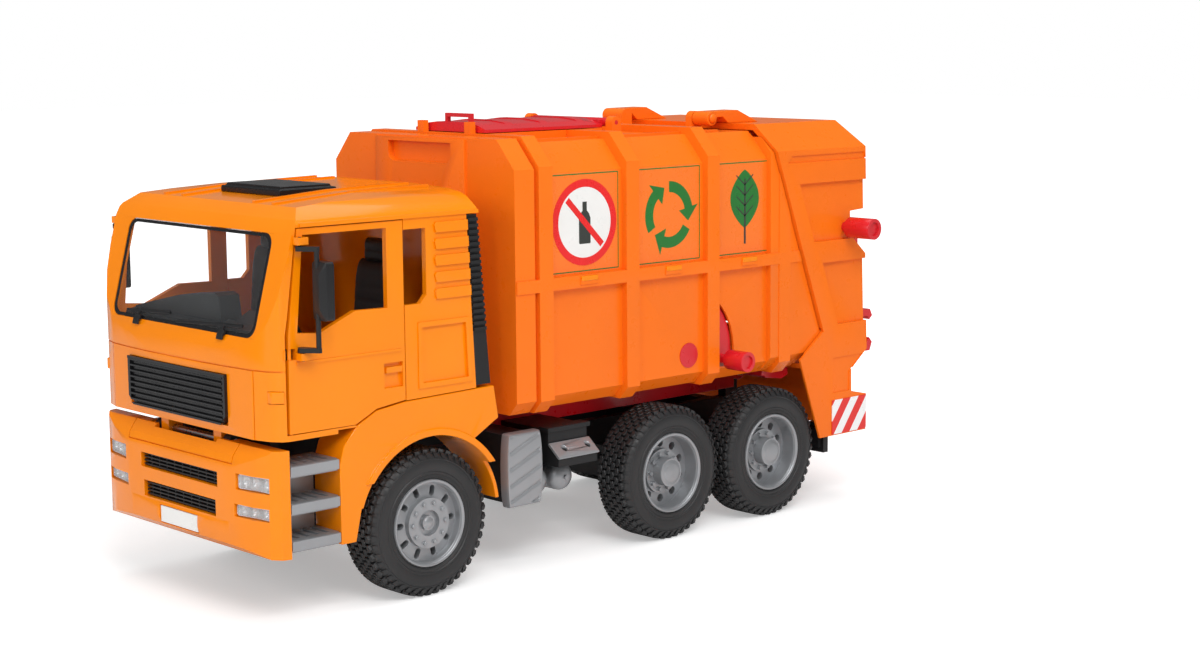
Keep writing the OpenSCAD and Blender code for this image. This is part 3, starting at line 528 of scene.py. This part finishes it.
def pad(shape, low, high, axis_tilt, channels, slot=0, power=5.0):
    """A crowned pad between two heights along a tilted line, ribbed by shallow channels."""
    (x0, z0), (x1, z1) = low[0], high[0]
    y, half_x, half_y = low[1], low[2], low[3]
    rings = []
    steps = 44
    for i in range(steps + 1):
        t = i / steps
        crown = (1 - abs(2 * t - 1) ** 5) ** 0.5
        rib = 1 - 0.07 * (0.5 + 0.5 * math.cos(2 * math.pi * channels * t)) ** 6
        scale = max(0.04, crown)
        ring = []
        for u, v in superellipse(half_x * scale * rib, half_y * (0.9 + 0.1 * crown), power, 40):
            ring.append((x0 + (x1 - x0) * t + u * math.cos(axis_tilt), y + v,
                         z0 + (z1 - z0) * t + u * math.sin(axis_tilt)))
        rings.append(ring)
    shape.rings(rings, slot)


def seats():
    for side, sign in SIDES.items():
        shape = Shape()
        low, high = (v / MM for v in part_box(f"seat_{side}"))
        y = (low.y + high.y) / 2
        back = high.x - 52
        # base, cushion, back, head rest and two arm rests
        base = [(back + 21, 103.3, 15, 12), (back + 21, 108, 15, 12), (back + 21, 110.5, 17, 14)]
        shape.rings([[(x + u, y + v, z) for u, v in superellipse(hx, hy, 6)]
                     for x, z, hx, hy in base])
        rings = []
        for i in range(31):
            t = i / 30
            crown = (1 - abs(2 * t - 1) ** 6) ** 0.5
            rib = 1 - 0.08 * (0.5 + 0.5 * math.cos(2 * math.pi * 5 * t)) ** 6
            x = back + 5 + 42 * t
            z = 113.6 + 1.0 * t
            rings.append([(x, y + v * (0.93 + 0.07 * crown), z + u * max(0.05, crown) * rib)
                          for u, v in superellipse(4.2, 16.5, 4.5, 40)])
        shape.rings(rings)
        pad(shape, ((back + 5.5, 115.5), y, 4.2, 15.6), ((back + 1.5, 163.5), y), 0.09, 7)
        pad(shape, ((back + 2.2, 162.5), y, 3.2, 8.8), ((back + 1.6, 174.2), y), 0.05, 2)
        for arm in (-15.2, 15.2):
            rings = [[(back + 9 + 32 * t, y + arm + v, 119.6 + 2.2 * t + u)
                      for u, v in superellipse(1.8 * c, 1.7 * c, 3, 16)]
                     for t, c in ((0, 0.3), (0.02, 0.75), (0.06, 1), (0.94, 1), (0.98, 0.75),
                                  (1, 0.3))]
            shape.rings(rings)
        obj = shape.build(f"seat_soft_{side}", "cab", ["black"], smooth=50)
        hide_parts(f"seat_{side}")


def indicators():
    for side, sign in SIDES.items():
        shape = Shape()
        outline = [(208.6, 106.2), (213.4, 106.2), (213.4, 111.8), (208.6, 111.8)]
        shape.prism(outline, lambda u, v, w: (u, sign * (w - max(0, u - 209.5) * 1.05), v),
                    70.5, 76.9)
        obj = shape.build(f"indicator_{side}", "cab", ["cab_orange"])
        add_bevel(obj, 0.6, 3)


def bumper_lamps():
    """Reflector bowls behind a clear curved cover, in the bumper's pockets."""
    def cover_x(y):
        points = [(42, 218.2), (61, 216.6), (71, 213.8), (75.6, 210.4)]
        for (y0, x0), (y1, x1) in zip(points, points[1:]):
            if y <= y1:
                return x0 + (x1 - x0) * (y - y0) / (y1 - y0)
        return points[-1][1]

    for side, sign in SIDES.items():
        shape = Shape()
        for y0, y1, z0, z1 in ((49.3, 70.7, 64.3, 71.2), (47.8, 70.2, 51.3, 56.7)):
            mid = (y0 + y1) / 2
            outline = rounded_box(y1 - y0, z1 - z0, 1.2, 4, (mid, (z0 + z1) / 2))
            shape.prism(outline, lambda u, v, w: (cover_x(u) + w, sign * u, v), -4.6, -3.6, 0)
            inner = rounded_box(y1 - y0 - 1.0, z1 - z0 - 1.0, 0.9, 4, (mid, (z0 + z1) / 2))
            shape.band(outline, inner, lambda u, v, w: (cover_x(u) + w, sign * u, v), -3.7, -0.5,
                       0)
            for k in range(3):
                y = y0 + (y1 - y0) * (k + 0.5) / 3
                bowl = [(2.7, 0), (2.5, 0.1), (1.2, -1.0), (0.9, -1.1), (0.85, 0.1), (0.5, 0.5),
                        (0, 0.6), (0, -1.4), (2.7, -1.4)]
                rings = []
                for i in range(28):
                    a = 2 * math.pi * i / 28
                    rings.append([(cover_x(y) - 2.4 + w, sign * y + r * math.cos(a),
                                   (z0 + z1) / 2 + r * 0.95 * math.sin(a)) for r, w in bowl])
                shape.rings(rings, 0, closed=True)
            shape.prism(inner, lambda u, v, w: (cover_x(u) + w, sign * u, v), -0.9, -0.2, 1)
        obj = shape.build(f"bumper_lamps_{side}", "chassis", ["reflector", "clear"], smooth=35,
                          record_slot="lamp")
        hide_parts(f"lamp_{side}")


def mirror_glass():
    low, high = (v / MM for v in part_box("mirror_left"))
    for side, sign in SIDES.items():
        shape = Shape()
        outline = rounded_box(7.4, 21.6, 1.2, 5, (88.6, 157.8))
        shape.prism(outline, lambda u, v, w: (low.x + w, sign * u, v), 0.5, 1.0)
        add_bevel(shape.build(f"mirror_glass_{side}", f"mirror_{side[0]}", ["mirror"],
                             record_slot="screen"), 0.15)


# ---------- container ----------

# Half the width over the side panels, and the signs on them
PANEL_HW = 71.5
DECAL_LIFT = 0.12
SIGN_Z = 176
SIGN_HEIGHT = 52
# Tailgate hinge: X and Z of its pin, and where the pin ends in Y
TAIL_PIN = (-105, 43.6, 224)


def decal_place(x, z, sign):
    """u to the reader's right, v up and w out of the panel, about the decal's centre."""
    return lambda u, v, w: (x - sign * u, sign * (PANEL_HW + w), z + v)


def grown(place, scale):
    return lambda u, v, w: place(u * scale, v * scale, w)


def arc(radius, start, end, count):
    return [(radius * math.cos(math.radians(start + (end - start) * i / count)),
             radius * math.sin(math.radians(start + (end - start) * i / count)))
            for i in range(count + 1)]


def frame_lines(shape, place, width, height):
    outer = rounded_box(width, height, 0.6, 2)
    inner = rounded_box(width - 1.1, height - 1.1, 0.4, 2)
    shape.band(outer, inner, place, 0.05, DECAL_LIFT, 1)


def no_entry(shape, place):
    """A red ring with a bar over a plain bottle."""
    shape.prism(circle(18.6, 72), place, 0.05, DECAL_LIFT, 2)
    shape.band(circle(22.2, 72), circle(18.2, 72), place, 0.05, DECAL_LIFT + 0.06, 3)
    bottle = [(-3.6, -11), (3.6, -11), (4, -10.4), (4, 2), (3, 4.5), (1.5, 6), (1.5, 10.6),
              (-1.5, 10.6), (-1.5, 6), (-3, 4.5), (-4, 2), (-4, -10.4)]
    shape.prism(bottle, place, 0.1, DECAL_LIFT + 0.05, 4)
    c = math.sqrt(0.5)
    bar = [(-17, 1.7), (17, 1.7), (17, -1.7), (-17, -1.7)]
    bar = [(c * (u + v), c * (v - u)) for u, v in bar]
    shape.prism(bar, place, 0.1, DECAL_LIFT + 0.09, 3)


def turning_arrows(shape, place):
    """Three plain curved arrows round a circle."""
    place = grown(place, 1.27)
    for k in range(3):
        start = 90 + 120 * k
        line = arc(14, start, start - 78, 16) + arc(9.4, start - 78, start, 16)
        tip = math.radians(start - 106)
        head = [(17.4 * math.cos(math.radians(start - 78)),
                 17.4 * math.sin(math.radians(start - 78))),
                (11.7 * math.cos(tip), 11.7 * math.sin(tip)),
                (6.0 * math.cos(math.radians(start - 78)),
                 6.0 * math.sin(math.radians(start - 78)))]
        shape.prism(line, place, 0.05, DECAL_LIFT, 1)
        shape.prism(head, place, 0.05, DECAL_LIFT + 0.01, 1)


def leaf(shape, place):
    """A plain pointed leaf with a stalk and a vein."""
    place = grown(place, 1.24)
    blade = []
    for i in range(25):
        t = i / 24
        blade.append((9.2 * math.sin(math.pi * t) ** 0.8, -9 + 26 * t))
    outline = blade + [(-u, v) for u, v in reversed(blade[1:-1])]
    shape.prism(outline, place, 0.05, DECAL_LIFT, 1)
    stalk = [(-0.5, -16), (0.7, -16), (0.5, 13), (-0.3, 13)]
    shape.prism(stalk, place, 0.05, DECAL_LIFT + 0.05, 4)
    for k in range(4):
        z = -4 + 4.6 * k
        for s in (-1, 1):
            vein = [(0, z), (s * 5.4, z + 4.4), (s * 5.4, z + 5.0), (0, z + 0.8)]
            shape.prism(vein, place, 0.06, DECAL_LIFT + 0.05, 4)


def decals():
    """Framed signs between the ribs on both sides; all are plain signs with no lettering."""
    signs = ((18.4, 49, no_entry), (-42.6, 48, turning_arrows), (-101.2, 44, leaf))
    for side, sign in SIDES.items():
        for k, (x, width, draw) in enumerate(signs):
            shape = Shape()
            place = decal_place(x, SIGN_Z, sign)
            shape.prism(rounded_box(width, SIGN_HEIGHT, 1.0, 3), place, -0.05, 0.06, 0)
            frame_lines(shape, place, width - 1.4, SIGN_HEIGHT - 1.6)
            draw(shape, place)
            shape.build(f"decal_{side}_{k + 1}", "container",
                        ["label", "green", "white", "sign_red", "ink"], record_slot="body_orange")


# ---------- chassis details ----------


def silencer_panel():
    """Barrel-shaped pressed cover with diagonal grooves."""
    low, high = (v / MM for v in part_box("silencer_cover"))
    mid_x = (low.x + high.x) / 2
    half_x = (high.x - low.x) / 2
    half_z = (high.z - low.z) / 2
    mid_z = (low.z + high.z) / 2
    across, along = 40, 80
    shape = Shape()
    front = []
    for j in range(along + 1):
        v = 2 * j / along - 1
        width = half_x * (0.84 + 0.16 * math.sqrt(max(0, 1 - v * v)))
        for i in range(across + 1):
            u = 2 * i / across - 1
            x, z = u * width, v * half_z
            edge = min(1.0, (1 - abs(u)) * 9, (1 - abs(v)) * 16)
            round_off = 1.2 * (1 - math.sqrt(max(0, 1 - (1 - edge) ** 2)))
            line = (z + x * 0.42 + 100) % 8.4
            groove = 0.75 * math.exp(-((line - 4.2) / 0.75) ** 2) * (edge >= 1)
            front.append((mid_x + x, high.y - 0.2 - round_off - groove - 0.5 * v * v, mid_z + z))
    row = across + 1
    faces = [(j * row + i, j * row + i + 1, (j + 1) * row + i + 1, (j + 1) * row + i)
             for j in range(along) for i in range(across)]
    rim = ([i for i in range(row)] + [j * row + across for j in range(1, along + 1)]
           + [along * row + i for i in range(across - 1, -1, -1)]
           + [j * row for j in range(along - 1, 0, -1)])
    back = len(front)
    points = front + [(front[i][0], low.y, front[i][2]) for i in rim]
    count = len(rim)
    for k in range(count):
        n = (k + 1) % count
        faces.append((rim[k], rim[n], back + n, back + k))
    faces.append(tuple(back + k for k in range(count)))
    shape.add(points, faces)
    obj = shape.build("silencer_panel", "chassis", ["silver"], smooth=35)
    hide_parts("silencer_cover")


def air_tanks():
    shape = Shape()
    low, high = (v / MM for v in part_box("air_tanks"))
    radius = (high.z - low.z) / 2
    z = (high.z + low.z) / 2
    xs = (low.x + radius, high.x - radius)
    for sign in SIDES.values():
        for x in xs:
            profile = [(0, high.y), (1.2, high.y - 0.1), (1.3, high.y - 1.2)]
            for i in range(1, 11):
                a = math.pi / 2 * i / 10
                profile.append((1.3 + (radius - 1.3) * math.sin(a),
                                high.y - 1.2 - 5.0 * (1 - math.cos(a))))
            seam = high.y - 9
            profile += [(radius, seam), (radius + 0.0, seam - 0.2), (radius - 0.25, seam - 0.5),
                        (radius - 0.25, seam - 0.9), (radius, seam - 1.2), (radius, 27),
                        (radius - 1.5, 26), (0, 26)]
            lathe(shape, profile, (x, 0, z), sign, count=56)
            shape.prism([(x - 2, 46.5), (x + 2, 46.5), (x + 2, 51.5), (x - 2, 51.5)],
                        lambda u, v, w: (u, sign * w, v), 22, 30)
    obj = shape.build("air_tank_pair", "chassis", ["silver"], smooth=35)
    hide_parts("air_tanks")


def rear_lamps():
    """Three-part lamps set into the tailgate's lower panel."""
    low, _ = (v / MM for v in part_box("warning_boards"))
    x = low.x + 0.35
    for side, sign in SIDES.items():
        shape = Shape()
        for k, slot in enumerate((0, 1, 2)):
            y = 42.2 + 9.8 * k
            outline = rounded_box(9.2, 9.4, 1.0, 4, (y, 50))
            shape.prism(outline, lambda u, v, w: (x + w, sign * u, v), -0.4, 0.6, slot)
        add_bevel(shape.build(f"rear_lamp_{side}", "tailgate", ["clear_white", "lens_red",
                                                              "signal"], record_slot="lamp"),
                 0.3, 2)


def hinge_caps():
    """Domed ends on the tailgate's hinge pins."""
    shape = Shape()
    cap = [(0, 1.2), (1.2, 1.1), (2.2, 0.6), (2.6, 0), (0, 0)]
    for sign in SIDES.values():
        lathe(shape, cap, (TAIL_PIN[0], sign * TAIL_PIN[1], TAIL_PIN[2]), sign, count=24)
    shape.build("hinge_caps", "container", ["body_orange"], smooth=40)


def dash_details():
    """Four slatted vents and a gloss-black panel on the dashboard."""
    shape = Shape()

    def face(u, v, w):
        """u across, v up and w out of the sloping inner face of the dashboard."""
        return (193 - 0.556 * (v - 121) - w, u, v)

    for y in (-50, -36, -8, 6):
        shape.prism(rounded_box(10, 4, 0.8, 3, (y, 124)), face, -0.3, 0.5)
        for k in range(3):
            shape.prism(rounded_box(9, 0.5, 0.2, 2, (y, 122.9 + 1.1 * k)), face, 0.3, 0.9)
    shape.prism(rounded_box(16, 8, 1, 3, (-22, 123)), face, -0.3, 0.4, 1)
    add_bevel(shape.build("dash_details", "cab", ["black", "black_gloss"]), 0.1)


def belt_clips():
    """Paler clips along the upper edge of the container's belt, one under each sign."""
    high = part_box("container_shell")[1] / MM
    for side, sign in SIDES.items():
        shape = Shape()
        for x in (19, -42, -101):
            shape.prism(rounded_box(11.4, 2.6, 0.5, 3, (x, 147.7)),
                        lambda u, v, w: (u, sign * w, v), high.y - 1.2, high.y + 0.3)
        add_bevel(shape.build(f"belt_clips_{side}", "container", ["cab_orange"]), 0.25)


wheels()
screen_corners()
screen_border()
seats()
indicators()
bumper_lamps()
mirror_glass()
decals()
belt_clips()
silencer_panel()
air_tanks()
rear_lamps()
hinge_caps()
dash_details()


# ---------- stage ----------


def camera():
    """A long lens low over the truck's left front corner."""
    target = Vector((-56.7, 1.7, 107.2)) * MM
    yaw, pitch, roll = (math.radians(a) for a in (47.12, 8.09, -0.41))
    away = Vector((math.cos(pitch) * math.cos(yaw), math.cos(pitch) * math.sin(yaw),
                   math.sin(pitch)))
    right = (-away).cross(Vector((0, 0, 1))).normalized()
    up = right.cross(-away)
    x_axis = math.cos(roll) * right + math.sin(roll) * up
    y_axis = -math.sin(roll) * right + math.cos(roll) * up
    basis = Matrix((x_axis, y_axis, away)).transposed().to_4x4()
    data = bpy.data.cameras.new("camera")
    data.sensor_width = 36
    data.lens = 62.94
    data.clip_start = 0.05
    obj = bpy.data.objects.new("camera", data)
    obj.matrix_world = Matrix.Translation(target + away * 1.186) @ basis
    bpy.context.scene.collection.objects.link(obj)
    bpy.context.scene.camera = obj


def area_light(name, place, aim, size, power):
    data = bpy.data.lights.new(name, "AREA")
    data.shape = "RECTANGLE"
    data.size, data.size_y = size
    data.energy = power
    obj = bpy.data.objects.new(name, data)
    obj.location = place
    obj.rotation_euler = (Vector(aim) - Vector(place)).to_track_quat("-Z", "Y").to_euler()
    bpy.context.scene.collection.objects.link(obj)


def brighten(material, strength):
    """Adds light that only the camera sees, so that the floor fades into the surround."""
    tree = material.node_tree
    shader = tree.nodes["Principled BSDF"]
    path = tree.nodes.new("ShaderNodeLightPath")
    coords = tree.nodes.new("ShaderNodeTexCoord")
    reach = tree.nodes.new("ShaderNodeVectorMath")
    reach.operation = "LENGTH"
    link(tree, coords, "Object", reach, "Vector")
    fade = tree.nodes.new("ShaderNodeMapRange")
    fade.inputs["From Min"].default_value = 0.25
    fade.inputs["From Max"].default_value = 0.9
    fade.inputs["To Min"].default_value = strength
    fade.inputs["To Max"].default_value = 0.85
    link(tree, reach, "Value", fade, "Value")
    glow = tree.nodes.new("ShaderNodeMath")
    glow.operation = "MULTIPLY"
    link(tree, fade, "Result", glow, 0)
    link(tree, path, "Is Camera Ray", glow, 1)
    link(tree, glow, "Value", shader, "Emission Strength")
    shader.inputs["Emission Color"].default_value = (1, 1, 1, 1)


def stage():
    """A pale floor, a pale surround, three soft lights and two strips."""
    reach = 6.0
    mesh = bpy.data.meshes.new("floor")
    corners = [(-reach, -reach, 0), (reach, -reach, 0), (reach, reach, 0), (-reach, reach, 0)]
    mesh.from_pydata(corners, [], [(0, 1, 2, 3)])
    floor = bpy.data.objects.new("floor", mesh)
    floor.location.z = -0.05 * MM
    mesh.materials.append(moulded("floor", (0.86, 0.86, 0.86), 0.6, 0.0, 0.01, 0.005))
    bpy.context.scene.collection.objects.link(floor)
    brighten(mesh.materials[0], 0.36)
    world = bpy.data.worlds.new("surround")
    world.use_nodes = True
    tree = world.node_tree
    background = tree.nodes["Background"]
    path = tree.nodes.new("ShaderNodeLightPath")
    seen = tree.nodes.new("ShaderNodeMapRange")
    seen.inputs["To Min"].default_value = 0.46
    seen.inputs["To Max"].default_value = 1.0
    link(tree, path, "Is Camera Ray", seen, "Value")
    mirrored = tree.nodes.new("ShaderNodeMath")
    mirrored.operation = "MULTIPLY_ADD"
    mirrored.inputs[1].default_value = -0.26
    link(tree, path, "Is Glossy Ray", mirrored, 0)
    link(tree, seen, "Result", mirrored, 2)
    background.inputs["Color"].default_value = (1, 1, 1, 1)
    link(tree, mirrored, "Value", background, "Strength")
    bpy.context.scene.world = world
    area_light("key", (0.7, 1.3, 1.3), (0, 0, 0.1), (0.8, 0.8), 15)
    area_light("fill", (1.7, -0.2, 0.8), (0.1, 0, 0.1), (0.7, 0.7), 6)
    area_light("top", (-0.2, 0.1, 1.5), (0, 0, 0.1), (1.6, 1.0), 9)
    # narrow strips that draw bright lines along the rounded edges
    area_light("front_strip", (1.3, 0.9, 0.55), (0.15, 0, 0.12), (0.05, 1.3), 2.5)
    area_light("high_strip", (0.3, 0.9, 1.1), (0, 0, 0.2), (1.4, 0.05), 2.5)


camera()
stage()
bpy.context.scene.view_settings.view_transform = "Standard"
